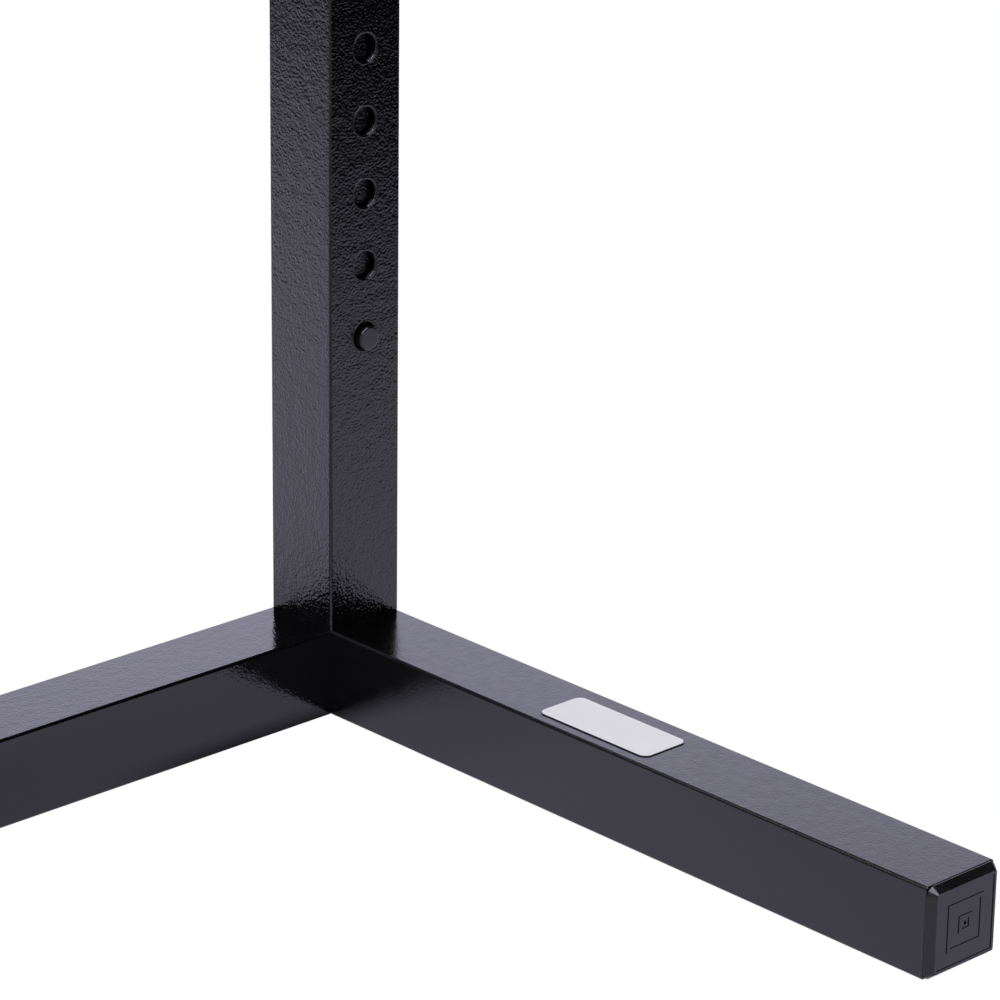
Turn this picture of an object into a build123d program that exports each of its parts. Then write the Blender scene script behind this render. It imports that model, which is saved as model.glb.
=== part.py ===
from build123d import *

import os
from math import cos, radians, sin

# Adjustable tabletop food guard: a clear shield on two telescoping square-tube posts.
#
# The frame is in millimetres: +X along the guard's width, +Y towards the server, +Z up. The origin is
# on the table, half-way between the two posts and under their centre plane. The guard is drawn at its
# lowest setting, with both snap buttons in the lowest holes of the posts.

# --- Driving dimensions: base frame, 1 1/2 in square tube ---------------------------------------

FRAME_WIDTH = 1219.2
TUBE = 38.1
TUBE_WALL = 1.65
TUBE_CORNER = 1.2
FOOT_LENGTH = 372.3
FOOT_END_EDGE = 0.3

# --- Driving dimensions: telescoping 1 1/4 in tube and 1 in cross rail --------------------------

INNER_TUBE_GAP = 1.525
INNER_WALL = 1.65
INNER_CORNER = 1.2
INNER_TAIL = 40.0
SLIDE_CLEARANCE = 0.25
ELBOW_RISE = 21.0
ARM_TILT = 40.0
ARM_PAST_SCREW = 32.0
RAIL_TUBE = 25.4
RAIL_WALL = 1.65
RAIL_CORNER = 1.1
RAIL_BELOW_SCREW = 42.0

# --- Driving dimensions: height adjustment ------------------------------------------------------

HOLE_COUNT = 7
HOLE_PITCH = 30.6
HOLE_DIAMETER = 11.5
HOLE_RIM = 0.7
LOWEST_HOLE_RISE = 127.0
TOP_HOLE_TO_COLLAR = 5.0
BUTTON_PLAY = 0.6
BUTTON_SEAT_GAP = 0.1
BUTTON_GUIDE_PLAY = 0.9
BUTTON_PROTRUSION = 3.0
BUTTON_EDGE = 0.8
SPRING_WIDTH = 9.0
SPRING_THICKNESS = 0.8
SPRING_WALL_GAP = 0.1
SPRING_ABOVE_BUTTON = 26.0
SPRING_BELOW_BUTTON = 9.0
RIVET_DIAMETER = 4.0
RIVET_CLEARANCE = 0.1
RIVET_HEAD_DIAMETER = 6.5
RIVET_HEAD_HEIGHT = 1.2

# --- Driving dimensions: clear shield and its fixings -------------------------------------------

SHIELD_HEIGHT = 406.4
SHIELD_THICKNESS = 6.0
SHIELD_CORNER = 22.0
SHIELD_EDGE = 0.6
SHIELD_OVERHANG = 120.0
SHIELD_HOLE_CLEARANCE = 0.6
LOWER_SCREW_REACH = 45.0
UPPER_SCREW_REACH = 230.0
SPACER_THICKNESS = 3.0
SPACER_DIAMETER = 18.0
SHIELD_WASHER_DIAMETER = 14.0
CAP_NUT_ENGAGEMENT = 6.0
CAP_NUT_FLATS = 10.0
CAP_NUT_HEX_HEIGHT = 5.0
CAP_NUT_SHOULDER = 0.4
CAP_NUT_CROWN_WALL = 2.0

# --- Driving dimensions: moulded end plugs, collars and glides ----------------------------------

PLUG_FLANGE = 3.8
PLUG_BEVEL_DEPTH = 3.0
PLUG_BEVEL_INSET = 2.45
PLUG_CORNER = 3.5
PLUG_FACE_CORNER = 0.8
PLUG_LIP_CHAMFER = 0.4
PLUG_BOLT_GAP = 1.05
PLUG_SKIRT_WALL = 2.0
PLUG_SKIRT_GAP = 0.4
PLUG_FIN = 1.2
PLUG_FIN_COUNT = 3
PLUG_RELIEF = 0.3
PLUG_FACE_MARGIN = 3.65
PLUG_RIDGE_MARGIN = 9.2
PLUG_BAND = 4.7
PLUG_RIDGE = 1.6
PLUG_GATE_DIAMETER = 1.5
PLUG_GATE_DEPTH = 1.2
COLLAR_FLANGE = 3.0
COLLAR_SKIRT = 24.0
COLLAR_EDGE = 0.8
GLIDE_FLANGE = 5.0
GLIDE_SKIRT = 14.0
GLIDE_EDGE = 0.6

# --- Driving dimensions: fasteners --------------------------------------------------------------

BOLT_DIAMETER = 6.0
BOLT_HEAD_DIAMETER = 10.5
BOLT_HEAD_HEIGHT = 3.3
BOLT_HEX = 4.0
BOLT_WASHER_DIAMETER = 12.0
RAIL_BOLT_DIAMETER = 5.0
RAIL_BOLT_HEAD_DIAMETER = 9.5
RAIL_BOLT_HEAD_HEIGHT = 2.75
RAIL_BOLT_HEX = 3.0
RAIL_BOLT_WASHER_DIAMETER = 10.0
HEAD_EDGE = 0.8
HEX_DEPTH = 2.0
BOLT_TIP = 0.6
WASHER_THICKNESS = 1.6
BOLT_CLEARANCE = 0.3
THREAD_CLEARANCE = 0.05
THREAD_ENGAGEMENT = 14.0
INSERT_DEPTH = 20.0
POST_BOLT_SPACING = 18.0
CROSS_BOLT_SPACING = 14.0
CROSS_BOLT_DROP = 2.5
RAIL_BOLT_SPACING = 11.0
SLEEVE_WALL = 1.8
ACCESS_HOLE_MARGIN = 0.5

# --- Driving dimensions: blank label plate on the left foot -------------------------------------

PLATE_LENGTH = 61.6
PLATE_WIDTH = 24.3
PLATE_THICKNESS = 0.4
PLATE_CORNER = 3.9
PLATE_FROM_POST = 151.0
PLATE_OFFSET = 1.3

# --- Worked out from the driving dimensions -----------------------------------------------------

SIDES = {"left": -1, "right": 1}
TUBE_BORE = TUBE - 2 * TUBE_WALL
INNER_TUBE = TUBE_BORE - 2 * INNER_TUBE_GAP
INNER_BORE = INNER_TUBE - 2 * INNER_WALL
RAIL_BORE = RAIL_TUBE - 2 * RAIL_WALL
POST_X = (FRAME_WIDTH - TUBE) / 2
CROSS_HALF_LENGTH = POST_X - TUBE / 2
RAIL_HALF_LENGTH = POST_X - INNER_TUBE / 2
FOOT_FRONT = -TUBE / 2
FOOT_REAR = FOOT_FRONT + FOOT_LENGTH
POST_FACE = TUBE / 2
LOWEST_HOLE_Z = TUBE + LOWEST_HOLE_RISE
BUTTON_Z = LOWEST_HOLE_Z - BUTTON_PLAY + BUTTON_SEAT_GAP
BUTTON_DIAMETER = HOLE_DIAMETER - 2 * BUTTON_PLAY
TOP_HOLE_Z = LOWEST_HOLE_Z + (HOLE_COUNT - 1) * HOLE_PITCH
POST_TOP = TOP_HOLE_Z + HOLE_DIAMETER / 2 + TOP_HOLE_TO_COLLAR + COLLAR_SKIRT
INNER_BOTTOM = BUTTON_Z - INNER_TAIL
TILT = radians(ARM_TILT)
ARM_DIRECTION = Vector(0, sin(TILT), cos(TILT))
SHIELD_NORMAL = Vector(0, -cos(TILT), sin(TILT))
MITRE_NORMAL = (ARM_DIRECTION + Vector(0, 0, 1)).normalized()
ELBOW = Vector(0, 0, POST_TOP + ELBOW_RISE)
ARM_FACE = INNER_TUBE / 2
ARM_LENGTH = UPPER_SCREW_REACH + ARM_PAST_SCREW
RAIL_REACH = UPPER_SCREW_REACH - RAIL_BELOW_SCREW
RAIL_OUT = ARM_FACE - RAIL_TUBE / 2
SHIELD_BACK = ARM_FACE + SPACER_THICKNESS
SHIELD_FRONT = SHIELD_BACK + SHIELD_THICKNESS
SHIELD_WIDTH = FRAME_WIDTH
SCREW_REACHES = (LOWER_SCREW_REACH, UPPER_SCREW_REACH)
SCREW_LENGTH = WASHER_THICKNESS + SHIELD_THICKNESS + SPACER_THICKNESS + INNER_TUBE + CAP_NUT_ENGAGEMENT
PLUG_SKIRT = (TUBE - BOLT_WASHER_DIAMETER) / 2 - PLUG_BOLT_GAP
PLUG_FIN_PITCH = (PLUG_SKIRT - PLUG_FIN) / PLUG_FIN_COUNT


def save(part, name):
    """Labels a finished piece and writes it as a STEP file of its own."""
    part.part.label = name
    export_step(part.part, f"parts/{name}.step")


def arm_plane(x, reach, out):
    """A plane parallel to the shield: reach runs up the arm from the elbow, out towards the customer."""
    origin = ELBOW + Vector(x, 0, 0) + ARM_DIRECTION * reach + SHIELD_NORMAL * out
    return Plane(origin=origin, x_dir=(1, 0, 0), z_dir=SHIELD_NORMAL)


def axis_of(plane):
    """The axis through a plane's origin, along its normal."""
    return Axis(plane.origin, plane.z_dir)


def axial_plane(plane):
    """The plane that holds a fastener's axis, with its local Y along the axis."""
    return Plane(origin=plane.origin, x_dir=plane.x_dir, z_dir=-plane.y_dir)


def tube_profile(plane, size, wall, corner):
    """The cross-section of a square tube, centred on a plane."""
    with BuildSketch(plane) as profile:
        RectangleRounded(size, size, corner)
        Rectangle(size - 2 * wall, size - 2 * wall, mode=Mode.SUBTRACT)
    return profile.sketch


# --- Fasteners ----------------------------------------------------------------------------------


def bolts(planes, length, diameter=BOLT_DIAMETER, head=(BOLT_HEAD_DIAMETER, BOLT_HEAD_HEIGHT, BOLT_HEX)):
    """Button-head socket bolts. Each plane lies under a head, with its normal along the shank."""
    head_diameter, head_height, hex_size = head
    crown = (0, -head_height)
    rim = (head_diameter / 2, -HEAD_EDGE)
    shank = diameter / 2
    with BuildPart() as group:
        for plane in planes:
            with BuildSketch(axial_plane(plane)):
                with BuildLine():
                    TangentArc(crown, rim, tangent=(1, 0))
                    Polyline(rim, (head_diameter / 2, 0), (shank, 0), (shank, length - BOLT_TIP))
                    Polyline((shank, length - BOLT_TIP), (shank - BOLT_TIP, length), (0, length), crown)
                make_face()
            revolve(axis=axis_of(plane))
            with BuildSketch(plane.offset(-head_height)):
                RegularPolygon(hex_size / 2, 6, major_radius=False)
            extrude(amount=HEX_DEPTH, mode=Mode.SUBTRACT)
    return group


def rail_bolts(planes, length):
    head = (RAIL_BOLT_HEAD_DIAMETER, RAIL_BOLT_HEAD_HEIGHT, RAIL_BOLT_HEX)
    return bolts(planes, length, RAIL_BOLT_DIAMETER, head)


def washers(planes, diameter, outer, thickness=WASHER_THICKNESS):
    """Plain washers. Each plane is the face that the washer stands on."""
    with BuildPart() as group:
        for plane in planes:
            with BuildSketch(plane):
                Circle(outer / 2)
                Circle(diameter / 2 + BOLT_CLEARANCE, mode=Mode.SUBTRACT)
            extrude(amount=thickness)
    return group


def cap_nuts(planes):
    """Domed nuts. Each plane is the face that the nut stands on, with its normal towards the dome."""
    dome_radius = CAP_NUT_FLATS / 2 - CAP_NUT_SHOULDER
    shoulder = (dome_radius, CAP_NUT_HEX_HEIGHT)
    crown = (0, CAP_NUT_HEX_HEIGHT + dome_radius)
    with BuildPart() as group:
        for plane in planes:
            with BuildSketch(plane):
                RegularPolygon(CAP_NUT_FLATS / 2, 6, major_radius=False)
            extrude(amount=CAP_NUT_HEX_HEIGHT)
            with BuildSketch(axial_plane(plane)):
                with BuildLine():
                    TangentArc(crown, shoulder, tangent=(1, 0))
                    Polyline(shoulder, (0, CAP_NUT_HEX_HEIGHT), crown)
                make_face()
            revolve(axis=axis_of(plane))
            with BuildSketch(plane):
                Circle(BOLT_DIAMETER / 2 + THREAD_CLEARANCE)
            extrude(amount=crown[1] - CAP_NUT_CROWN_WALL, mode=Mode.SUBTRACT)
    return group


# --- Moulded pieces -----------------------------------------------------------------------------


def end_plug(plane, tube, bore):
    """A finned push-in plug with a bevelled flange and nested square ridges on its face.

    The plane is the tube's cut end, with its normal pointing out of the tube.
    """
    face = tube - 2 * PLUG_BEVEL_INSET
    skirt = bore - 2 * PLUG_SKIRT_GAP
    shoulder = plane.offset(PLUG_FLANGE - PLUG_BEVEL_DEPTH)
    field = tube - 2 * PLUG_FACE_MARGIN
    largest_ridge = tube - 2 * PLUG_RIDGE_MARGIN
    ridge_step = 2 * (PLUG_BAND + PLUG_RIDGE)
    extra_ridges = int((largest_ridge - 2 * PLUG_RIDGE - PLUG_GATE_DIAMETER) // ridge_step)
    back = tube - 2 * PLUG_LIP_CHAMFER
    with BuildPart() as plug:
        with BuildSketch(plane):
            RectangleRounded(back, back, PLUG_CORNER - PLUG_LIP_CHAMFER)
        with BuildSketch(plane.offset(PLUG_LIP_CHAMFER)):
            RectangleRounded(tube, tube, PLUG_CORNER)
        loft()
        with BuildSketch(plane.offset(PLUG_LIP_CHAMFER)):
            RectangleRounded(tube, tube, PLUG_CORNER)
        extrude(amount=PLUG_FLANGE - PLUG_BEVEL_DEPTH - PLUG_LIP_CHAMFER)
        with BuildSketch(shoulder):
            RectangleRounded(tube, tube, PLUG_CORNER)
        with BuildSketch(plane.offset(PLUG_FLANGE)):
            RectangleRounded(face, face, PLUG_FACE_CORNER)
        loft()
        with BuildSketch(plane.offset(PLUG_FLANGE)):
            Rectangle(field, field)
            for ridge in range(extra_ridges + 1):
                ridge_outer = largest_ridge - ridge * ridge_step
                ridge_inner = ridge_outer - 2 * PLUG_RIDGE
                Rectangle(ridge_outer, ridge_outer, mode=Mode.SUBTRACT)
                Rectangle(ridge_inner, ridge_inner)
        extrude(amount=-PLUG_RELIEF, mode=Mode.SUBTRACT)
        with BuildSketch(plane.offset(PLUG_FLANGE - PLUG_RELIEF)):
            Circle(PLUG_GATE_DIAMETER / 2)
        extrude(amount=-PLUG_GATE_DEPTH, mode=Mode.SUBTRACT)
        with BuildSketch(plane):
            Rectangle(skirt, skirt)
        extrude(amount=-PLUG_SKIRT)
        for fin in range(PLUG_FIN_COUNT):
            with BuildSketch(plane.offset(-(fin + 1) * PLUG_FIN_PITCH)):
                Rectangle(bore, bore)
            extrude(amount=PLUG_FIN)
        with BuildSketch(plane.offset(-PLUG_SKIRT)):
            Rectangle(skirt - 2 * PLUG_SKIRT_WALL, skirt - 2 * PLUG_SKIRT_WALL)
        extrude(amount=PLUG_SKIRT, mode=Mode.SUBTRACT)
    return plug


def post_collar(x):
    """The sleeve in the top of an outer post that the telescoping tube slides through."""
    slideway = INNER_TUBE + 2 * SLIDE_CLEARANCE
    top = Plane(origin=(x, 0, POST_TOP))
    with BuildPart() as collar:
        with BuildSketch(top):
            RectangleRounded(TUBE, TUBE, TUBE_CORNER)
        extrude(amount=COLLAR_FLANGE)
        chamfer(collar.faces().sort_by(Axis.Z)[-1].edges(), COLLAR_EDGE)
        with BuildSketch(top):
            Rectangle(TUBE_BORE, TUBE_BORE)
        extrude(amount=-COLLAR_SKIRT)
        with BuildSketch(top.offset(COLLAR_FLANGE)):
            RectangleRounded(slideway, slideway, INNER_CORNER + SLIDE_CLEARANCE)
        extrude(amount=-COLLAR_FLANGE - COLLAR_SKIRT, mode=Mode.SUBTRACT)
    return collar


def inner_glide(x):
    """The foot of the telescoping tube, which keeps it central in the outer post."""
    runner = TUBE_BORE - 2 * SLIDE_CLEARANCE
    socket = INNER_BORE - 2 * PLUG_SKIRT_GAP
    bottom = Plane(origin=(x, 0, INNER_BOTTOM))
    with BuildPart() as glide:
        with BuildSketch(bottom):
            Rectangle(runner, runner)
        extrude(amount=-GLIDE_FLANGE)
        chamfer(glide.faces().sort_by(Axis.Z)[0].edges(), GLIDE_EDGE)
        with BuildSketch(bottom):
            Rectangle(socket, socket)
            Rectangle(socket - 2 * PLUG_SKIRT_WALL, socket - 2 * PLUG_SKIRT_WALL, mode=Mode.SUBTRACT)
        extrude(amount=GLIDE_SKIRT)
    return glide


# --- Base frame ---------------------------------------------------------------------------------


def cross_bolt_planes(side, out, facing=-1):
    """The two cross-tube bolts of one side, one above the other, at a distance out from the middle.

    The planes face the middle of the guard, or away from it where facing is 1.
    """
    normal = (facing * side, 0, 0)
    middle = TUBE / 2 - CROSS_BOLT_DROP
    heights = [middle + row * CROSS_BOLT_SPACING / 2 for row in (-1, 1)]
    return [Plane(origin=(side * out, 0, height), x_dir=(0, 1, 0), z_dir=normal) for height in heights]


def post_bolt_planes(x, z):
    """The two bolts that hold a post down, side by side at a height."""
    return [Plane(origin=(x + column * POST_BOLT_SPACING / 2, 0, z)) for column in (-1, 1)]


def foot(side):
    """A foot runs from under its post towards the server, drilled for the post and the cross tube."""
    x = side * POST_X
    start = Plane(origin=(x, FOOT_FRONT, TUBE / 2), x_dir=(1, 0, 0), z_dir=(0, 1, 0))
    with BuildPart() as tube:
        extrude(tube_profile(start, TUBE, TUBE_WALL, TUBE_CORNER), amount=FOOT_LENGTH)
        front, rear = (tube.faces().sort_by(Axis.Y)[end] for end in (0, -1))
        chamfer(front.outer_wire().edges() + rear.outer_wire().edges(), FOOT_END_EDGE)
        for plane in cross_bolt_planes(side, POST_X + TUBE / 2):
            with BuildSketch(plane):
                Circle(BOLT_DIAMETER / 2 + BOLT_CLEARANCE)
            extrude(amount=TUBE, mode=Mode.SUBTRACT)
        for plane in post_bolt_planes(x, 0):
            with BuildSketch(plane):
                Circle(BOLT_WASHER_DIAMETER / 2 + ACCESS_HOLE_MARGIN)
            extrude(amount=TUBE_WALL, mode=Mode.SUBTRACT)
            with BuildSketch(plane.offset(TUBE)):
                Circle(BOLT_DIAMETER / 2 + BOLT_CLEARANCE)
            extrude(amount=-TUBE_WALL, mode=Mode.SUBTRACT)
    return tube


def outer_post(side):
    """The fixed post, with its row of adjustment holes in the face towards the server."""
    x = side * POST_X
    with BuildPart() as post:
        profile = tube_profile(Plane(origin=(x, 0, TUBE)), TUBE, TUBE_WALL, TUBE_CORNER)
        extrude(profile, amount=POST_TOP - TUBE)
        for step in range(HOLE_COUNT):
            height = LOWEST_HOLE_Z + step * HOLE_PITCH
            with BuildSketch(Plane(origin=(x, POST_FACE, height), x_dir=(1, 0, 0), z_dir=(0, -1, 0))):
                Circle(HOLE_DIAMETER / 2)
            extrude(amount=TUBE_WALL, mode=Mode.SUBTRACT)
        rims = post.edges().filter_by(GeomType.CIRCLE).group_by(Axis.Y)[-1]
        fillet(rims, HOLE_RIM)
    return post


def threaded_insert(plane, bore, hole_planes, diameter):
    """A block fixed inside a tube's end, flush with it, tapped for the bolts that meet it."""
    with BuildPart() as block:
        with BuildSketch(plane):
            Rectangle(bore, bore)
        extrude(amount=INSERT_DEPTH)
        for hole in hole_planes:
            with BuildSketch(hole):
                Circle(diameter / 2 + THREAD_CLEARANCE)
            extrude(amount=INSERT_DEPTH, mode=Mode.SUBTRACT)
    return block


def crush_sleeves(side):
    """Sleeves inside a foot that keep the cross-tube bolts from crushing it."""
    bore = BOLT_DIAMETER / 2 + BOLT_CLEARANCE
    with BuildPart() as group:
        for plane in cross_bolt_planes(side, POST_X + TUBE_BORE / 2):
            with BuildSketch(plane):
                Circle(bore + SLEEVE_WALL)
                Circle(bore, mode=Mode.SUBTRACT)
            extrude(amount=TUBE_BORE)
    return group


# --- Telescoping frame --------------------------------------------------------------------------


def inner_post(side):
    """The telescoping tube, with one hole for its snap button and a mitred top."""
    x = side * POST_X
    start = Plane(origin=(x, 0, INNER_BOTTOM))
    uncut_length = ELBOW.Z - INNER_BOTTOM + INNER_TUBE
    with BuildPart() as post:
        extrude(tube_profile(start, INNER_TUBE, INNER_WALL, INNER_CORNER), amount=uncut_length)
        mitre = Plane(origin=ELBOW + Vector(x, 0, 0), x_dir=(1, 0, 0), z_dir=MITRE_NORMAL)
        split(bisect_by=mitre, keep=Keep.BOTTOM)
        with BuildSketch(Plane(origin=(x, ARM_FACE, BUTTON_Z), x_dir=(1, 0, 0), z_dir=(0, -1, 0))):
            Circle(BUTTON_DIAMETER / 2 + BUTTON_GUIDE_PLAY)
        extrude(amount=INNER_WALL, mode=Mode.SUBTRACT)
    return post


def rail_bolt_planes(side, out, facing=-1):
    """The two cross-rail bolts of one side, in line with the arm, placed as the cross-tube bolts are."""
    normal = (facing * side, 0, 0)
    reaches = [RAIL_REACH + row * RAIL_BOLT_SPACING / 2 for row in (-1, 1)]
    points = [arm_plane(side * out, reach, RAIL_OUT).origin for reach in reaches]
    return [Plane(origin=point, x_dir=ARM_DIRECTION, z_dir=normal) for point in points]


def shield_arm(side):
    """The tilted arm, mitred to the telescoping tube and drilled for the shield and the rail."""
    x = side * POST_X
    start_point = arm_plane(x, -INNER_TUBE, 0).origin
    start = Plane(origin=start_point, x_dir=(1, 0, 0), z_dir=ARM_DIRECTION)
    with BuildPart() as arm:
        profile = tube_profile(start, INNER_TUBE, INNER_WALL, INNER_CORNER)
        extrude(profile, amount=ARM_LENGTH + INNER_TUBE)
        mitre = Plane(origin=ELBOW + Vector(x, 0, 0), x_dir=(1, 0, 0), z_dir=MITRE_NORMAL)
        split(bisect_by=mitre, keep=Keep.TOP)
        for reach in SCREW_REACHES:
            with BuildSketch(arm_plane(x, reach, ARM_FACE)):
                Circle(BOLT_DIAMETER / 2 + BOLT_CLEARANCE)
            extrude(amount=-INNER_TUBE, mode=Mode.SUBTRACT)
        for plane in rail_bolt_planes(side, POST_X + ARM_FACE):
            with BuildSketch(plane):
                Circle(RAIL_BOLT_DIAMETER / 2 + BOLT_CLEARANCE)
            extrude(amount=INNER_TUBE, mode=Mode.SUBTRACT)
    return arm


def screw_planes(out, towards_server=False):
    """One plane at each of the four shield screws, facing the customer or the server."""
    planes = [arm_plane(side * POST_X, reach, out) for side in SIDES.values() for reach in SCREW_REACHES]
    if towards_server:
        planes = [Plane(origin=plane.origin, x_dir=(1, 0, 0), z_dir=-plane.z_dir) for plane in planes]
    return planes


# --- Snap buttons -------------------------------------------------------------------------------


def snap_spring(x):
    """A hairpin of spring steel inside the telescoping tube, with the button riveted to its rear leg."""
    leg_face = INNER_BORE / 2 - SPRING_WALL_GAP
    leg = leg_face - SPRING_THICKNESS / 2
    bend_z = BUTTON_Z + SPRING_ABOVE_BUTTON
    tip_z = BUTTON_Z - SPRING_BELOW_BUTTON
    middle = Plane(origin=(x, 0, 0), x_dir=(0, 1, 0), z_dir=(1, 0, 0))
    with BuildPart() as spring:
        with BuildSketch(middle):
            with BuildLine() as centre_line:
                Line((leg, tip_z), (leg, bend_z))
                ThreePointArc((leg, bend_z), (0, bend_z + leg), (-leg, bend_z))
                Line((-leg, bend_z), (-leg, tip_z))
            trace(centre_line.line, SPRING_THICKNESS)
        extrude(amount=SPRING_WIDTH / 2, both=True)
        with BuildSketch(Plane(origin=(x, leg_face, BUTTON_Z), x_dir=(1, 0, 0), z_dir=(0, -1, 0))):
            Circle(RIVET_DIAMETER / 2 + RIVET_CLEARANCE)
        extrude(amount=SPRING_THICKNESS, mode=Mode.SUBTRACT)
    return spring


def snap_button(x):
    """The button and its rivet through the spring's leg. The button stands proud of the outer post."""
    face = POST_FACE + BUTTON_PROTRUSION
    shoulder = INNER_BORE / 2 - SPRING_WALL_GAP
    head_top = shoulder - SPRING_THICKNESS
    head_bottom = head_top - RIVET_HEAD_HEIGHT
    with BuildPart() as button:
        with BuildSketch(Plane(origin=(x, 0, BUTTON_Z))):
            with BuildLine():
                Polyline(
                    (0, head_bottom),
                    (RIVET_HEAD_DIAMETER / 2, head_bottom),
                    (RIVET_HEAD_DIAMETER / 2, head_top),
                    (RIVET_DIAMETER / 2, head_top),
                    (RIVET_DIAMETER / 2, shoulder),
                    (BUTTON_DIAMETER / 2, shoulder),
                    (BUTTON_DIAMETER / 2, face),
                    (0, face),
                    close=True,
                )
            make_face()
        revolve(axis=Axis((x, 0, BUTTON_Z), (0, 1, 0)))
        rim = button.faces().sort_by(Axis.Y)[-1].edges()
        fillet(rim, BUTTON_EDGE)
    return button


# --- Build and save -----------------------------------------------------------------------------

os.makedirs("parts", exist_ok=True)

for name, side in SIDES.items():
    x = side * POST_X

    save(foot(side), f"{name}_foot")
    front_end = Plane(origin=(x, FOOT_FRONT, TUBE / 2), x_dir=(1, 0, 0), z_dir=(0, -1, 0))
    rear_end = Plane(origin=(x, FOOT_REAR, TUBE / 2), x_dir=(1, 0, 0), z_dir=(0, 1, 0))
    save(end_plug(front_end, TUBE, TUBE_BORE), f"{name}_foot_front_plug")
    save(end_plug(rear_end, TUBE, TUBE_BORE), f"{name}_foot_rear_plug")

    outer_wall = cross_bolt_planes(side, POST_X + TUBE / 2, facing=1)
    head_seats = cross_bolt_planes(side, POST_X + TUBE / 2 + WASHER_THICKNESS)
    tapped_holes = cross_bolt_planes(side, CROSS_HALF_LENGTH)
    tube_end = Plane(origin=(side * CROSS_HALF_LENGTH, 0, TUBE / 2), x_dir=(0, 1, 0), z_dir=(-side, 0, 0))
    save(bolts(head_seats, WASHER_THICKNESS + TUBE + THREAD_ENGAGEMENT), f"{name}_cross_tube_bolts")
    save(washers(outer_wall, BOLT_DIAMETER, BOLT_WASHER_DIAMETER), f"{name}_cross_tube_washers")
    save(crush_sleeves(side), f"{name}_crush_sleeves")
    save(threaded_insert(tube_end, TUBE_BORE, tapped_holes, BOLT_DIAMETER), f"{name}_cross_tube_insert")

    save(outer_post(side), f"{name}_outer_post")
    inside_top_wall = TUBE - TUBE_WALL
    washer_faces = post_bolt_planes(x, inside_top_wall - WASHER_THICKNESS)
    post_bolt_length = WASHER_THICKNESS + TUBE_WALL + THREAD_ENGAGEMENT
    post_foot = Plane(origin=(x, 0, TUBE))
    save(bolts(washer_faces, post_bolt_length), f"{name}_post_bolts")
    save(washers(washer_faces, BOLT_DIAMETER, BOLT_WASHER_DIAMETER), f"{name}_post_washers")
    post_insert = threaded_insert(post_foot, TUBE_BORE, post_bolt_planes(x, TUBE), BOLT_DIAMETER)
    save(post_insert, f"{name}_post_insert")
    save(post_collar(x), f"{name}_post_collar")

    save(inner_post(side), f"{name}_inner_post")
    save(inner_glide(x), f"{name}_inner_glide")
    save(shield_arm(side), f"{name}_shield_arm")
    arm_end = Plane(origin=arm_plane(x, ARM_LENGTH, 0).origin, x_dir=(1, 0, 0), z_dir=ARM_DIRECTION)
    save(end_plug(arm_end, INNER_TUBE, INNER_BORE), f"{name}_arm_plug")

    outer_wall = rail_bolt_planes(side, POST_X + ARM_FACE, facing=1)
    head_seats = rail_bolt_planes(side, POST_X + ARM_FACE + WASHER_THICKNESS)
    tapped_holes = rail_bolt_planes(side, RAIL_HALF_LENGTH)
    rail_middle = arm_plane(side * RAIL_HALF_LENGTH, RAIL_REACH, RAIL_OUT).origin
    rail_end = Plane(origin=rail_middle, x_dir=ARM_DIRECTION, z_dir=(-side, 0, 0))
    save(rail_bolts(head_seats, WASHER_THICKNESS + INNER_TUBE + THREAD_ENGAGEMENT), f"{name}_rail_bolts")
    save(washers(outer_wall, RAIL_BOLT_DIAMETER, RAIL_BOLT_WASHER_DIAMETER), f"{name}_rail_washers")
    save(threaded_insert(rail_end, RAIL_BORE, tapped_holes, RAIL_BOLT_DIAMETER), f"{name}_rail_insert")

    save(snap_spring(x), f"{name}_snap_spring")
    save(snap_button(x), f"{name}_snap_button")

with BuildPart() as cross_tube:
    cross_start = Plane(origin=(-CROSS_HALF_LENGTH, 0, TUBE / 2), x_dir=(0, 1, 0), z_dir=(1, 0, 0))
    extrude(tube_profile(cross_start, TUBE, TUBE_WALL, TUBE_CORNER), amount=2 * CROSS_HALF_LENGTH)
save(cross_tube, "cross_tube")

with BuildPart() as label_plate:
    with BuildSketch(Plane(origin=(-POST_X + PLATE_OFFSET, POST_FACE + PLATE_FROM_POST, TUBE))):
        RectangleRounded(PLATE_WIDTH, PLATE_LENGTH, PLATE_CORNER)
    extrude(amount=PLATE_THICKNESS)
save(label_plate, "label_plate")

with BuildPart() as cross_rail:
    rail_start_point = arm_plane(-RAIL_HALF_LENGTH, RAIL_REACH, RAIL_OUT).origin
    rail_start = Plane(origin=rail_start_point, x_dir=ARM_DIRECTION, z_dir=(1, 0, 0))
    extrude(tube_profile(rail_start, RAIL_TUBE, RAIL_WALL, RAIL_CORNER), amount=2 * RAIL_HALF_LENGTH)
save(cross_rail, "cross_rail")

with BuildPart() as shield:
    with BuildSketch(arm_plane(0, SHIELD_HEIGHT / 2 - SHIELD_OVERHANG, SHIELD_BACK)):
        RectangleRounded(SHIELD_WIDTH, SHIELD_HEIGHT, SHIELD_CORNER)
    extrude(amount=SHIELD_THICKNESS)
    broad_faces = shield.faces().sort_by(Axis(ELBOW, SHIELD_NORMAL))
    chamfer(broad_faces[0].edges() + broad_faces[-1].edges(), SHIELD_EDGE)
    for plane in screw_planes(SHIELD_BACK):
        with BuildSketch(plane):
            Circle(BOLT_DIAMETER / 2 + SHIELD_HOLE_CLEARANCE)
        extrude(amount=SHIELD_THICKNESS, mode=Mode.SUBTRACT)
save(shield, "shield")

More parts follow.
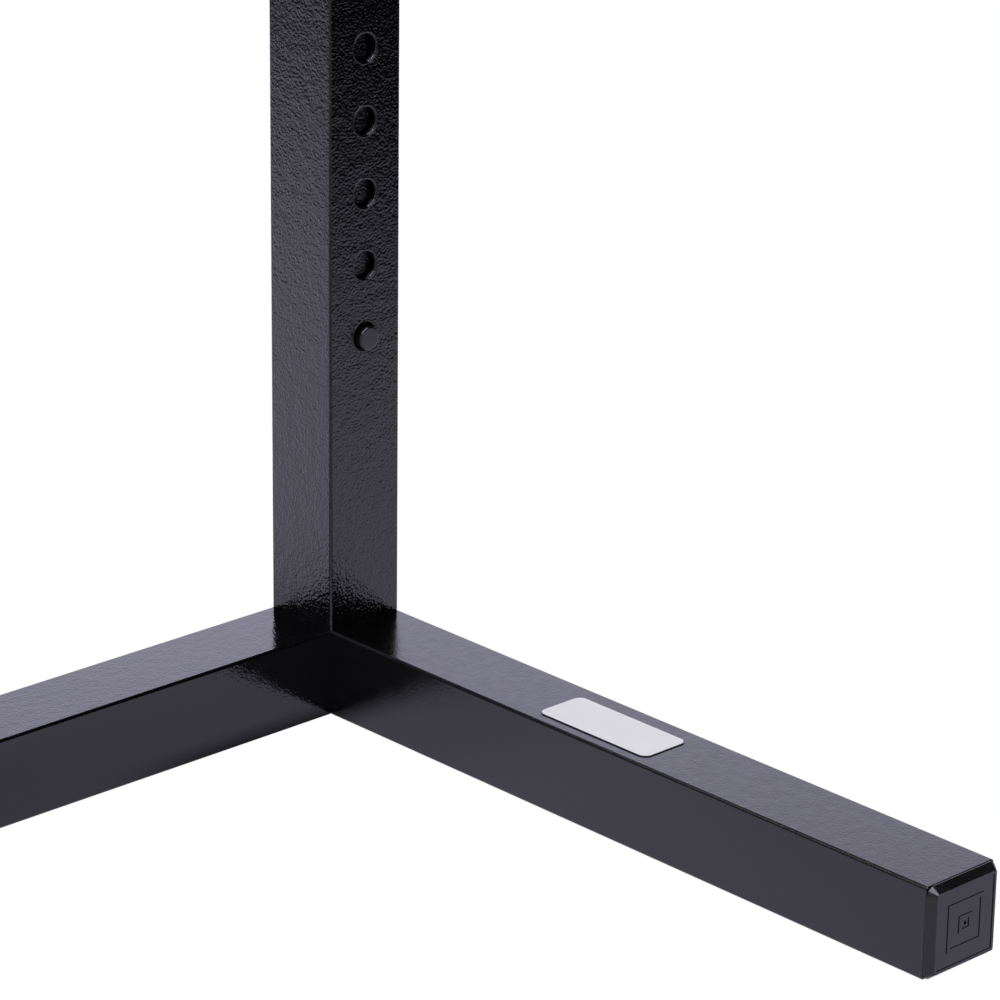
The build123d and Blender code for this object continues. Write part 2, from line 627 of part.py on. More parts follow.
screw_seats = screw_planes(SHIELD_FRONT + WASHER_THICKNESS, towards_server=True)
save(bolts(screw_seats, SCREW_LENGTH), "shield_screws")
save(washers(screw_planes(SHIELD_FRONT), BOLT_DIAMETER, SHIELD_WASHER_DIAMETER), "shield_washers")
spacers = washers(screw_planes(ARM_FACE), BOLT_DIAMETER, SPACER_DIAMETER, SPACER_THICKNESS)
save(spacers, "shield_spacers")
save(cap_nuts(screw_planes(-ARM_FACE, towards_server=True)), "shield_cap_nuts")
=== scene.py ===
import math

import bmesh
import bpy
from mathutils import Matrix, Quaternion, Vector


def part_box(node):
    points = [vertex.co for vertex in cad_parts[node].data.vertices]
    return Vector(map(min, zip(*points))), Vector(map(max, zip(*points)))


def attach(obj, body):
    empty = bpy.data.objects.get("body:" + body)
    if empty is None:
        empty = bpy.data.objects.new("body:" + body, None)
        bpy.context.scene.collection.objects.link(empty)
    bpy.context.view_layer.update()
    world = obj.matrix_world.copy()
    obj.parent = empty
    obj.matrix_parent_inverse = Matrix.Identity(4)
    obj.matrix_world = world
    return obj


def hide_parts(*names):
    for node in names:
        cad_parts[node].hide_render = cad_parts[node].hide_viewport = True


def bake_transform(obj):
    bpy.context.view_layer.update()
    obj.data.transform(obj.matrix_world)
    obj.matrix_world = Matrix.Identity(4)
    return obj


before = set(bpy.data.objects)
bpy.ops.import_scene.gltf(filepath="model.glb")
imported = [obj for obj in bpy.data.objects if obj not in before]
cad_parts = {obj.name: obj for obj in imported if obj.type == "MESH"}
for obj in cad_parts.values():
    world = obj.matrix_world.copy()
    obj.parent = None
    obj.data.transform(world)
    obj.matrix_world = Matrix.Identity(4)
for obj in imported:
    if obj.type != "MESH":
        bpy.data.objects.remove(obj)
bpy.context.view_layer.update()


# --- Feet, cross tube, posts, arms and rail: 1 1/2, 1 1/4 and 1 in square steel tube --------------
# The tubes are cut, drilled and sprayed with gloss black powder, which flows out in the oven and sets
# with the fine waves of orange peel. It is thin enough to leave the tube's rounded corners crisp.

SIDES = ("left", "right")
PATTERN_LOW = 0.3
PATTERN_HIGH = 0.7
COAT_BLACK = (0.0010, 0.0010, 0.0012, 1.0)
COAT_IOR = 1.5
PEEL_WAVES_PER_METRE = 900.0
PEEL_SWELL = 0.6
SWELL_TO_WAVE = 0.24
POST_PEEL_HEIGHT = 0.00027
CROSS_PEEL_HEIGHT = 0.00006
FOOT_PEEL_HEIGHT = 0.00004
POST_ROUGHNESS = 0.08
ARM_ROUGHNESS = 0.12
FOOT_ROUGHNESS = 0.17
COAT_HAZE = 0.05
COAT_SHINE = 0.5
ARM_SHINE = 0.38


def place(tree, kind, inputs=None, **settings):
    """Adds a shader node with its settings and the values of its unlinked inputs."""
    node = tree.nodes.new(kind)
    for name, value in settings.items():
        setattr(node, name, value)
    for name, value in (inputs or {}).items():
        node.inputs[name].default_value = value
    return node


def join(tree, source, output, target, socket):
    """Links one node's output to another's input."""
    tree.links.new(source.outputs[output], target.inputs[socket])


def new_finish(name, **values):
    """A material with its Principled shader, whose constant values go on the shader's own sockets."""
    finish = bpy.data.materials.new(name)
    finish.use_nodes = True
    shader = finish.node_tree.nodes["Principled BSDF"]
    for socket, value in values.items():
        shader.inputs[socket.replace("_", " ")].default_value = value
    return finish, finish.node_tree, shader


def new_effect(name, inputs, outputs):
    """A shader node group with named inputs (with their usual values) and named outputs."""
    effect = bpy.data.node_groups.new(name, "ShaderNodeTree")
    for label, kind, value in inputs:
        socket = effect.interface.new_socket(label, in_out="INPUT", socket_type=kind)
        if value is not None:
            socket.default_value = value
    for label, kind in outputs:
        effect.interface.new_socket(label, in_out="OUTPUT", socket_type=kind)
    return effect, place(effect, "NodeGroupInput"), place(effect, "NodeGroupOutput")


def use_effect(tree, effect, **values):
    """Places a node group in a material, with the material's own values."""
    node = tree.nodes.new("ShaderNodeGroup")
    node.node_tree = effect
    for socket, value in values.items():
        node.inputs[socket.replace("_", " ")].default_value = value
    return node


def object_coordinates(tree, scale=(1, 1, 1), turn=(0, 0, 0), shift=(0, 0, 0)):
    """Object coordinates, in metres, moved, turned and stretched for a pattern."""
    coordinates = place(tree, "ShaderNodeTexCoord")
    mapping = place(tree, "ShaderNodeMapping", {"Scale": scale, "Rotation": turn, "Location": shift})
    join(tree, coordinates, "Object", mapping, "Vector")
    return mapping


def value_range(tree, source, output, shader, socket, low, high, from_low=PATTERN_LOW,
                from_high=PATTERN_HIGH):
    """Feeds a pattern to a shader's socket, between two values."""
    spread = place(tree, "ShaderNodeMapRange",
                   {"From Min": from_low, "From Max": from_high, "To Min": low, "To Max": high})
    join(tree, source, output, spread, "Value")
    join(tree, spread, "Result", shader, socket)


def shade(tree, source, output, shader, dark, light):
    """Feeds a pattern to a shader's base colour, between two colours."""
    colours = place(tree, "ShaderNodeMix", {"A": dark, "B": light}, data_type="RGBA")
    join(tree, source, output, colours, "Factor")
    join(tree, colours, "Result", shader, "Base Color")


def finish_bump(tree, shader, source, output, height):
    """Turns a height pattern into the shader's normal. The height is in metres."""
    bump = place(tree, "ShaderNodeBump", {"Strength": 1.0, "Distance": height})
    join(tree, source, output, bump, "Height")
    join(tree, bump, "Normal", shader, "Normal")


def coat(finish, *names):
    """Gives a finish to CAD nodes."""
    for name in names:
        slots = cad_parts[name].data.materials
        slots.clear()
        slots.append(finish)


peel, peel_in, peel_out = new_effect(
    "orange_peel",
    [("Vector", "NodeSocketVector", None), ("Waves", "NodeSocketFloat", PEEL_WAVES_PER_METRE),
     ("Swell", "NodeSocketFloat", PEEL_SWELL)],
    [("Height", "NodeSocketFloat"), ("Haze", "NodeSocketFloat")],
)
waves = place(peel, "ShaderNodeTexNoise", {"Detail": 1.2, "Roughness": 0.35, "Distortion": 0.35})
join(peel, peel_in, "Vector", waves, "Vector")
join(peel, peel_in, "Waves", waves, "Scale")
swell_scale = place(peel, "ShaderNodeMath", {1: SWELL_TO_WAVE}, operation="MULTIPLY")
join(peel, peel_in, "Waves", swell_scale, 0)
swell = place(peel, "ShaderNodeTexNoise", {"Detail": 0.0})
join(peel, peel_in, "Vector", swell, "Vector")
join(peel, swell_scale, "Value", swell, "Scale")
swell_share = place(peel, "ShaderNodeMath", operation="MULTIPLY")
join(peel, swell, "Fac", swell_share, 0)
join(peel, peel_in, "Swell", swell_share, 1)
peel_height = place(peel, "ShaderNodeMath", operation="ADD")
join(peel, waves, "Fac", peel_height, 0)
join(peel, swell_share, "Value", peel_height, 1)
join(peel, peel_height, "Value", peel_out, "Height")
join(peel, swell, "Fac", peel_out, "Haze")


def powder(name, height, roughness, shine=COAT_SHINE):
    """Gloss black powder coat. Its peel is deeper where the powder went on thicker."""
    finish, tree, shader = new_finish(name, Base_Color=COAT_BLACK, IOR=COAT_IOR, Specular_IOR_Level=shine)
    skin = use_effect(tree, peel, Waves=PEEL_WAVES_PER_METRE, Swell=PEEL_SWELL)
    join(tree, object_coordinates(tree), "Vector", skin, "Vector")
    value_range(tree, skin, "Haze", shader, "Roughness", roughness, roughness + COAT_HAZE)
    finish_bump(tree, shader, skin, "Height", height)
    return finish


post_coat = powder("gloss_powder_coat_on_posts", POST_PEEL_HEIGHT, POST_ROUGHNESS)
arm_coat = powder("worn_powder_coat_on_arms", POST_PEEL_HEIGHT, ARM_ROUGHNESS, ARM_SHINE)
cross_coat = powder("gloss_powder_coat_on_cross_tubes", CROSS_PEEL_HEIGHT, POST_ROUGHNESS)
foot_coat = powder("gloss_powder_coat_on_feet", FOOT_PEEL_HEIGHT, FOOT_ROUGHNESS)
for side in SIDES:
    coat(post_coat, f"{side}_outer_post")
    coat(arm_coat, f"{side}_inner_post", f"{side}_shield_arm")
    coat(foot_coat, f"{side}_foot")
coat(cross_coat, "cross_tube", "cross_rail")


# --- Hole lips: the low raised ring round each adjustment hole ------------------------------------
# The punch pushes the post's wall up a little round each hole. The powder draws back from the lip as it
# flows, so the ring is smoother than the face around it.

LOWEST_HOLE_RISE = 0.127
HOLE_PITCH = 0.0306
HOLE_COUNT = 7
LIP_RADIUS = 0.0067
LIP_HALF_WIDTH = 0.0003
LIP_HEIGHT = 0.0002
LIP_SECTION_SIDES = 12
LIP_STEPS = 48


def loop_edges(ring):
    """The edges of a circle that was just made, in an order that is the same each run."""
    return list(dict.fromkeys(edge for vert in ring["verts"] for edge in vert.link_edges))


def in_set_order(mesh):
    """Orders a mesh's corners and faces by place, as spin gives them in another order each run."""
    places = ((mesh.verts, lambda vert: vert.co), (mesh.faces, lambda face: face.calc_center_median()))
    for parts, place_of in places:
        for number, part in enumerate(sorted(parts, key=lambda part: tuple(place_of(part)))):
            part.index = number
        parts.sort()


def new_piece(name, mesh, finish):
    """Turns a finished bmesh into a smooth-shaded piece with its finish."""
    bmesh.ops.recalc_face_normals(mesh, faces=mesh.faces)
    in_set_order(mesh)
    data = bpy.data.meshes.new(name)
    mesh.to_mesh(data)
    mesh.free()
    for face in data.polygons:
        face.use_smooth = True
    data.materials.append(finish)
    piece = bpy.data.objects.new(name, data)
    bpy.context.scene.collection.objects.link(piece)
    return piece


for side in SIDES:
    low, high = (Vector(corner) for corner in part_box(f"{side}_outer_post"))
    post_x = (low.x + high.x) / 2
    lips = bmesh.new()
    for hole in range(HOLE_COUNT):
        hole_z = low.z + LOWEST_HOLE_RISE + hole * HOLE_PITCH
        section = Matrix.Translation((post_x + LIP_RADIUS, high.y, hole_z))
        section @= Matrix.Diagonal((LIP_HALF_WIDTH, LIP_HEIGHT, 1, 1))
        ring = bmesh.ops.create_circle(lips, segments=LIP_SECTION_SIDES, radius=1.0, matrix=section)
        outline = ring["verts"] + loop_edges(ring)
        bmesh.ops.spin(lips, geom=outline, cent=(post_x, 0, hole_z), axis=(0, 1, 0), angle=2 * math.pi,
                       steps=LIP_STEPS, use_merge=True)
    hole_lips = new_piece(f"{side}_hole_lips", lips, cross_coat)
    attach(hole_lips, "base")


# --- Welds: the mitred elbow between each telescoping tube and its arm ----------------------------
# The two tubes are cut at half the arm's lean and welded all round before they are coated. The bead
# is a small ripple of metal laid along the joint, softened by the powder over it.

UP = Vector((0, 0, 1))
LEAN = math.radians(40.0)
TUBE_CORNER = 0.0012
BEAD_RADIUS = 0.0017
BEAD_DEPTH = 0.0009
BEAD_RIPPLE = 0.09
BEAD_PITCH = 0.0021
BEAD_STEPS_PER_RIPPLE = 5
BEAD_SECTION_SIDES = 10


def around_tube(share, half_x, half_y, corner):
    """A point and the outward direction on a rounded rectangle, at a share of the way round it."""
    straight_x, straight_y = 2 * (half_x - corner), 2 * (half_y - corner)
    arc = math.pi * corner / 2
    travelled = share * (2 * straight_x + 2 * straight_y + 4 * arc)
    for turn, straight in enumerate((straight_y, straight_x, straight_y, straight_x)):
        heading = math.pi / 2 * turn
        out = Vector((math.cos(heading), math.sin(heading), 0))
        on = Vector((-math.sin(heading), math.cos(heading), 0))
        reach = (half_x, half_y)[turn % 2]
        if travelled <= straight:
            return out * reach + on * (travelled - straight / 2), out
        travelled -= straight
        if travelled <= arc:
            bend = heading + travelled / corner
            out_bend = Vector((math.cos(bend), math.sin(bend), 0))
            return out * (reach - corner) + on * straight / 2 + out_bend * corner, out_bend
        travelled -= arc
    return around_tube(0.0, half_x, half_y, corner)


for side in SIDES:
    low, high = (Vector(corner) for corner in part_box(f"{side}_inner_post"))
    half = (high.x - low.x) / 2
    half_mitre = half / math.cos(LEAN / 2)
    elbow = Vector(((low.x + high.x) / 2, 0, high.z - half * math.tan(LEAN / 2)))
    mitre = Matrix.Translation(elbow) @ Matrix.Rotation(-LEAN / 2, 4, "X")
    steps = round(4 * (half + half_mitre) / BEAD_PITCH) * BEAD_STEPS_PER_RIPPLE
    bead = bmesh.new()
    rings = []
    for step in range(steps):
        spot, out = around_tube(step / steps, half, half_mitre, TUBE_CORNER)
        ripple = 1 + BEAD_RIPPLE * abs(math.sin(math.pi * step / BEAD_STEPS_PER_RIPPLE))
        facing = Matrix((out, UP, out.cross(UP))).transposed().to_4x4()
        section = mitre @ Matrix.Translation(spot - out * BEAD_DEPTH) @ facing
        ring = bmesh.ops.create_circle(bead, segments=BEAD_SECTION_SIDES, radius=BEAD_RADIUS * ripple,
                                       matrix=section)
        rings.append(loop_edges(ring))
    for ring, following in zip(rings, rings[1:] + rings[:1]):
        bmesh.ops.bridge_loops(bead, edges=ring + following)
    weld = new_piece(f"{side}_elbow_weld", bead, arm_coat)
    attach(weld, "upper_frame")


# --- Black screws and washers: the button heads that hold the cross tube and the rail -------------
# The socket screws and washers are blackened steel, which is dull, slightly grainy and a little
# browner than the coat around them. The washers are stamped from sheet.

SCREW_BLACK = (0.008, 0.0075, 0.007, 1)
SCREW_BROWN = (0.016, 0.015, 0.0145, 1)

grain, grain_in, grain_out = new_effect(
    "fine_grain",
    [("Vector", "NodeSocketVector", None), ("Grain", "NodeSocketFloat", 2500.0),
     ("Clouds", "NodeSocketFloat", 60.0)],
    [("Height", "NodeSocketFloat"), ("Clouds", "NodeSocketFloat")],
)
speckle = place(grain, "ShaderNodeTexNoise", {"Detail": 2.0, "Roughness": 0.6})
join(grain, grain_in, "Vector", speckle, "Vector")
join(grain, grain_in, "Grain", speckle, "Scale")
clouds = place(grain, "ShaderNodeTexNoise", {"Detail": 3.0, "Roughness": 0.55})
join(grain, grain_in, "Vector", clouds, "Vector")
join(grain, grain_in, "Clouds", clouds, "Scale")
join(grain, speckle, "Fac", grain_out, "Height")
join(grain, clouds, "Fac", grain_out, "Clouds")


def grained(name, grains, patches, height, smooth, rough, dark, light, **values):
    """A finish of fine grain, in grains to the metre, with cloudy patches of roughness and colour."""
    finish, tree, shader = new_finish(name, **values)
    surface = use_effect(tree, grain, Grain=grains, Clouds=patches)
    join(tree, object_coordinates(tree), "Vector", surface, "Vector")
    value_range(tree, surface, "Clouds", shader, "Roughness", smooth, rough)
    shade(tree, surface, "Clouds", shader, dark, light)
    finish_bump(tree, shader, surface, "Height", height)
    return finish


blackened = grained("blackened_screw_steel", grains=3200.0, patches=240.0, height=0.00001, smooth=0.26,
                    rough=0.40, dark=SCREW_BLACK, light=SCREW_BROWN, IOR=1.55)
for side in SIDES:
    coat(blackened, f"{side}_cross_tube_bolts", f"{side}_cross_tube_washers", f"{side}_rail_bolts",
         f"{side}_rail_washers")


# --- Zinc-plated steel: sleeves, threaded inserts and the screws under the posts ------------------
# These sit inside the tubes or under the feet. Bright zinc is bluish, with the cloudy patches and the
# faint yellow that the plating bath leaves.

ZINC_BLUE = (0.50, 0.52, 0.55, 1)
ZINC_YELLOW = (0.70, 0.70, 0.67, 1)

zinc = grained("bright_zinc_plate", grains=1500.0, patches=150.0, height=0.000006, smooth=0.22,
               rough=0.42, dark=ZINC_BLUE, light=ZINC_YELLOW, Metallic=1.0)
for side in SIDES:
    coat(zinc, f"{side}_crush_sleeves", f"{side}_cross_tube_insert", f"{side}_post_bolts",
         f"{side}_post_washers", f"{side}_post_insert", f"{side}_rail_insert")


# --- End plugs, post collars and glides: moulded black polyethylene -------------------------------
# The plugs close the ends of the feet and the arms, the collars guide the telescoping tubes and the
# glides are their feet. The moulds are polished, so the plastic is nearly as glossy as the coat, with
# a faint flow pattern and a very fine grain.

PLASTIC_BLACK = (0.0035, 0.0035, 0.0038, 1.0)
PLASTIC_GREY = (0.0070, 0.0070, 0.0074, 1.0)

moulded = grained("moulded_black_plastic", grains=1800.0, patches=90.0, height=0.000012, smooth=0.17,
                  rough=0.24, dark=PLASTIC_BLACK, light=PLASTIC_GREY, IOR=1.42)
for side in SIDES:
    coat(moulded, f"{side}_foot_front_plug", f"{side}_foot_rear_plug", f"{side}_post_collar",
         f"{side}_inner_glide", f"{side}_arm_plug")


# --- Snap springs: hairpins of spring steel inside the telescoping tubes --------------------------
# Each is a strip bent round a half circle. The button is riveted to its rear leg, which bends inwards
# as the button is pressed.

SPRING_THICKNESS = 0.0008
SPRING_EDGE = 0.00012
BEND_STEPS = 24
LEG_STEPS = 8
WIDE_STREAKS = 0.2
STEEL_DARK = (0.34, 0.35, 0.38, 1)
STEEL_LIGHT = (0.47, 0.48, 0.50, 1)

brush, brush_in, brush_out = new_effect(
    "brushed_lines",
    [("Vector", "NodeSocketVector", None), ("Lines", "NodeSocketFloat", 1.0)],
    [("Height", "NodeSocketFloat"), ("Streaks", "NodeSocketFloat")],
)
lines = place(brush, "ShaderNodeTexNoise", {"Detail": 3.0, "Roughness": 0.7})
join(brush, brush_in, "Vector", lines, "Vector")
join(brush, brush_in, "Lines", lines, "Scale")
wide_scale = place(brush, "ShaderNodeMath", {1: WIDE_STREAKS}, operation="MULTIPLY")
join(brush, brush_in, "Lines", wide_scale, 0)
streaks = place(brush, "ShaderNodeTexNoise", {"Detail": 2.0, "Roughness": 0.5})
join(brush, brush_in, "Vector", streaks, "Vector")
join(brush, wide_scale, "Value", streaks, "Scale")
join(brush, lines, "Fac", brush_out, "Height")
join(brush, streaks, "Fac", brush_out, "Streaks")


def brushed(name, lines, height, smooth, rough, dark, light, metallic=1.0):
    """A metal finish of fine lines, so many to the metre on each axis. They run along the lowest one."""
    finish, tree, shader = new_finish(name, Metallic=metallic)
    surface = use_effect(tree, brush, Lines=1.0)
    join(tree, object_coordinates(tree, scale=lines), "Vector", surface, "Vector")
    value_range(tree, surface, "Streaks", shader, "Roughness", smooth, rough)
    shade(tree, surface, "Streaks", shader, dark, light)
    finish_bump(tree, shader, surface, "Height", height)
    return finish


def draw_leg(strip, outline, rise):
    """Draws the strip's outline along one straight leg, and gives back the outline at its end."""
    for _ in range(LEG_STEPS):
        drawn = bmesh.ops.extrude_edge_only(strip, edges=outline)["geom"]
        bmesh.ops.translate(strip, vec=(0, 0, rise / LEG_STEPS),
                            verts=[part for part in drawn if isinstance(part, bmesh.types.BMVert)])
        outline = [part for part in drawn if isinstance(part, bmesh.types.BMEdge)]
    return outline


spring_steel = brushed("rolled_spring_steel", lines=(2400, 2400, 90), height=0.000006, smooth=0.24,
                       rough=0.36, dark=STEEL_DARK, light=STEEL_LIGHT)
for side in SIDES:
    low, high = (Vector(corner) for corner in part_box(f"{side}_snap_spring"))
    middle_x = (low.x + high.x) / 2
    leg_y = (high.y - low.y) / 2 - SPRING_THICKNESS / 2
    bend_z = high.z - (high.y - low.y) / 2
    strip = bmesh.new()
    bmesh.ops.create_grid(strip, x_segments=1, y_segments=1, size=0.5)
    bmesh.ops.scale(strip, vec=(high.x - low.x, SPRING_THICKNESS, 1), verts=strip.verts)
    bmesh.ops.bevel(strip, geom=list(strip.verts), offset=SPRING_EDGE, offset_type="OFFSET",
                    affect="VERTICES", segments=2, profile=0.5, material=-1)
    bmesh.ops.translate(strip, vec=(middle_x, -leg_y, low.z), verts=strip.verts)
    bmesh.ops.delete(strip, geom=list(strip.faces), context="FACES_ONLY")
    leg_end = draw_leg(strip, list(strip.edges), bend_z - low.z)
    bend = bmesh.ops.spin(strip, geom=leg_end, cent=(middle_x, 0, bend_z), axis=(1, 0, 0),
                          angle=-math.pi, steps=BEND_STEPS)
    bend_end = [part for part in bend["geom_last"] if isinstance(part, bmesh.types.BMEdge)]
    draw_leg(strip, bend_end, low.z - bend_z)
    bmesh.ops.remove_doubles(strip, verts=strip.verts, dist=0.000001)
    bmesh.ops.holes_fill(strip, edges=[edge for edge in strip.edges if edge.is_boundary])
    hairpin = new_piece(f"{side}_spring_strip", strip, spring_steel)
    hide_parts(f"{side}_snap_spring")
    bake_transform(hairpin)


# --- Snap buttons: the black buttons that stand out of the lowest holes ---------------------------
# Each is turned from steel, tumbled smooth and blackened to a gloss, with a rounded rim. Its face is
# smoother than the coat around it.

BUTTON_BLACK = (0.0022, 0.0022, 0.0025, 1)
BUTTON_GREY = (0.0040, 0.0040, 0.0044, 1)

button_black = grained("blackened_button_steel", grains=1200.0, patches=300.0, height=0.000006,
                       smooth=0.10, rough=0.15, dark=BUTTON_BLACK, light=BUTTON_GREY, IOR=1.52)
coat(button_black, "left_snap_button", "right_snap_button")


# --- Label plate: a thin aluminium plate stuck to the top of the left foot ------------------------
# The sheet is brushed along its length, lacquered and cut out with rounded corners, and its face is bare.
# A fine dark line of painted shade runs all round its edge, for the shadow along the plate's raised cut
# edge.

PLATE_CORNER = 0.0039
# Width, fade and colour of the painted shade line along the plate's edge.
PLATE_EDGE_SHADE_WIDTH = 0.00025
PLATE_EDGE_SHADE_FADE = 0.0001
PLATE_LIGHT = (0.78, 0.78, 0.77, 1)
PLATE_DULL = (0.72, 0.72, 0.71, 1)
PLATE_EDGE_SHADE_COLOUR = (0.03, 0.03, 0.03, 1)
ANY_HEIGHT = 10.0

low, high = (Vector(corner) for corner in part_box("label_plate"))
plate_middle = (low + high) / 2
plate_half = (high - low) / 2
plate_metal = brushed("brushed_label_aluminium", lines=(5200, 160, 5200), height=0.000004, smooth=0.34,
                      rough=0.44, dark=PLATE_DULL, light=PLATE_LIGHT, metallic=0.32)
tree = plate_metal.node_tree
shader = tree.nodes["Principled BSDF"]
from_plate_middle = object_coordinates(tree, shift=(-plate_middle.x, -plate_middle.y, 0))
each_way = place(tree, "ShaderNodeVectorMath", operation="ABSOLUTE")
join(tree, from_plate_middle, "Vector", each_way, 0)
corner_centre = (plate_half.x - PLATE_CORNER, plate_half.y - PLATE_CORNER, ANY_HEIGHT)
past_corner = place(tree, "ShaderNodeVectorMath", {1: corner_centre}, operation="SUBTRACT")
join(tree, each_way, "Vector", past_corner, 0)
outside_only = place(tree, "ShaderNodeVectorMath", {1: (0, 0, 0)}, operation="MAXIMUM")
join(tree, past_corner, "Vector", outside_only, 0)
corner_distance = place(tree, "ShaderNodeVectorMath", operation="LENGTH")
join(tree, outside_only, "Vector", corner_distance, 0)
# Painted shade: a fine dark line all round the plate's edge, for the shadow along its raised cut edge.
edge_shade_mask = place(tree, "ShaderNodeMapRange",
                  {"From Min": PLATE_CORNER - PLATE_EDGE_SHADE_WIDTH - PLATE_EDGE_SHADE_FADE,
                   "From Max": PLATE_CORNER - PLATE_EDGE_SHADE_WIDTH})
join(tree, corner_distance, "Value", edge_shade_mask, "Value")
face_colour = shader.inputs["Base Color"].links[0].from_node
edge_shade_mix = place(tree, "ShaderNodeMix", {"B": PLATE_EDGE_SHADE_COLOUR}, data_type="RGBA")
join(tree, face_colour, "Result", edge_shade_mix, "A")
join(tree, edge_shade_mask, "Result", edge_shade_mix, "Factor")
join(tree, edge_shade_mix, "Result", shader, "Base Color")
coat(plate_metal, "label_plate")


# --- Shield: clear acrylic sheet, 6 mm thick ------------------------------------------------------
# The sheet is cut with rounded corners and its edges are flame polished, so they carry light and look
# slightly blue-green. Its faces have only faint wiping marks.

SHEET_THICKNESS = 0.006
ACRYLIC_CLEAR = (0.97, 0.985, 0.985, 1)
ACRYLIC_EDGE = (0.78, 0.93, 0.92, 1)
ACRYLIC_IOR = 1.49
EDGE_BAND = 0.0007
SMEARS_PER_METRE = 5.0
SMEAR_STRETCH = (1, 2.4, 2.4)
SMEAR_TURN = (0.4, 0, 0.3)
SMEAR_LOW = 0.45
SMEAR_HIGH = 0.8
POLISHED_ROUGHNESS = 0.006
SMEARED_ROUGHNESS = 0.03

wipe, wipe_in, wipe_out = new_effect(
    "wiping_marks",
    [("Vector", "NodeSocketVector", None), ("Smears", "NodeSocketFloat", SMEARS_PER_METRE)],
    [("Marks", "NodeSocketFloat")],
)
smears = place(wipe, "ShaderNodeTexNoise", {"Detail": 4.0, "Roughness": 0.6, "Distortion": 0.8})
join(wipe, wipe_in, "Vector", smears, "Vector")
join(wipe, wipe_in, "Smears", smears, "Scale")
join(wipe, smears, "Fac", wipe_out, "Marks")


def reach_along(tree, source, output, axis):
    """How far a place or a direction reaches along an axis."""
    reach = place(tree, "ShaderNodeVectorMath", {1: axis}, operation="DOT_PRODUCT")
    join(tree, source, output, reach, 0)
    return reach


def further_out(tree, source, output, limit):
    """1 where a distance, either way, is past a limit, and 0 elsewhere."""
    distance = place(tree, "ShaderNodeMath", operation="ABSOLUTE")
    join(tree, source, output, distance, 0)
    past = place(tree, "ShaderNodeMath", {1: limit}, operation="GREATER_THAN")
    join(tree, distance, "Value", past, 0)
    return past


low, high = (Vector(corner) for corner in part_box("shield"))
sheet_middle = (low + high) / 2
sheet_slope = Vector((0, math.sin(LEAN), math.cos(LEAN)))
sheet_span = (high.z - low.z - SHEET_THICKNESS * math.sin(LEAN)) / math.cos(LEAN)
clear_acrylic, tree, shader = new_finish("clear_acrylic_sheet", IOR=ACRYLIC_IOR, Transmission_Weight=1.0)
marks = use_effect(tree, wipe, Smears=SMEARS_PER_METRE)
join(tree, object_coordinates(tree, SMEAR_STRETCH, SMEAR_TURN), "Vector", marks, "Vector")
value_range(tree, marks, "Marks", shader, "Roughness", POLISHED_ROUGHNESS, SMEARED_ROUGHNESS, SMEAR_LOW,
            SMEAR_HIGH)
from_sheet_middle = object_coordinates(tree, shift=tuple(-value for value in sheet_middle))
sheet_axes = place(tree, "ShaderNodeSeparateXYZ")
join(tree, from_sheet_middle, "Vector", sheet_axes, "Vector")
at_ends = further_out(tree, sheet_axes, "X", (high.x - low.x) / 2 - EDGE_BAND)
up_sheet = reach_along(tree, from_sheet_middle, "Vector", sheet_slope)
at_top_or_foot = further_out(tree, up_sheet, "Value", sheet_span / 2 - EDGE_BAND)
any_edge = place(tree, "ShaderNodeMath", operation="MAXIMUM")
join(tree, at_ends, "Value", any_edge, 0)
join(tree, at_top_or_foot, "Value", any_edge, 1)
shade(tree, any_edge, "Value", shader, ACRYLIC_CLEAR, ACRYLIC_EDGE)
coat(clear_acrylic, "shield")


# --- Shield screws, washers and cap nuts: bright stainless steel ----------------------------------
# Pan head screws pass through the sheet, the spacer and the arm to cap nuts behind. They are turned
# and tumbled, which leaves them bright with small scuffs all over.

STAINLESS_DULL = (0.60, 0.60, 0.61, 1)
STAINLESS_BRIGHT = (0.74, 0.74, 0.74, 1)

stainless = brushed("bright_stainless_steel", lines=(900, 900, 900), height=0.000004, smooth=0.14,
                    rough=0.24, dark=STAINLESS_DULL, light=STAINLESS_BRIGHT)
coat(stainless, "shield_screws", "shield_washers", "shield_cap_nuts")


# --- Spacers: black rubber rings between the sheet and the arms -----------------------------------
# They are cut from moulded rubber, which is dull, slightly grey with bloom and finely textured.

RUBBER_BLACK = (0.012, 0.012, 0.012, 1)
RUBBER_BLOOM = (0.032, 0.032, 0.031, 1)

black_rubber = grained("black_rubber", grains=2600.0, patches=120.0, height=0.00003, smooth=0.62,
                       rough=0.85, dark=RUBBER_BLACK, light=RUBBER_BLOOM, IOR=1.5)
coat(black_rubber, "shield_spacers")


# --- White table: the top that the guard stands on ------------------------------------------------
# It is plain and burns out to white. A ray that comes off a surface meets a pool of light instead, with
# painted shadow beside the tubes and a darker painted contact shadow along the cross tube next to each
# foot, because that is what the gloss black coat mirrors.

LIGHT_TINT = (1.0, 0.972, 1.24, 1.0)
PLAIN_WHITE = (1.0, 1.0, 1.0, 1.0)
TABLE_REACH = 60.0
TABLE_DROP = 0.0003
POOL_AXIS = Vector((0.66, -0.75, 0))
MIDDLE_GLOW = 1.0
MIDDLE_FAR_GLOW = 0.3
TUBE_SHADOW_GLOW = 0.74
FOOT_GLOW = 0.90
CONTACT_SHADOW_GLOW = 0.15
OUTER_GLOW = 0.935
FRONT_GLOW = 1.25
FRONT_FAR_GLOW = 0.1
MIDDLE_FADE = (0.09, 0.22)
TUBE_SHADOW_FADE = (0.07, 0.11)
FOOT_FADE = (0.04, 0.14)
CONTACT_SHADOW_FADE = (0.015, 0.038)
SERVER_FADE = (-0.76, -1.34)
FRONT_FADE = (0.25, 1.25)
INSIDE_FOOT = (0.44, 0.52)
OUTSIDE_FOOT = (0.585, 0.62)
CUSTOMER_SIDE = (0.02, -0.20)


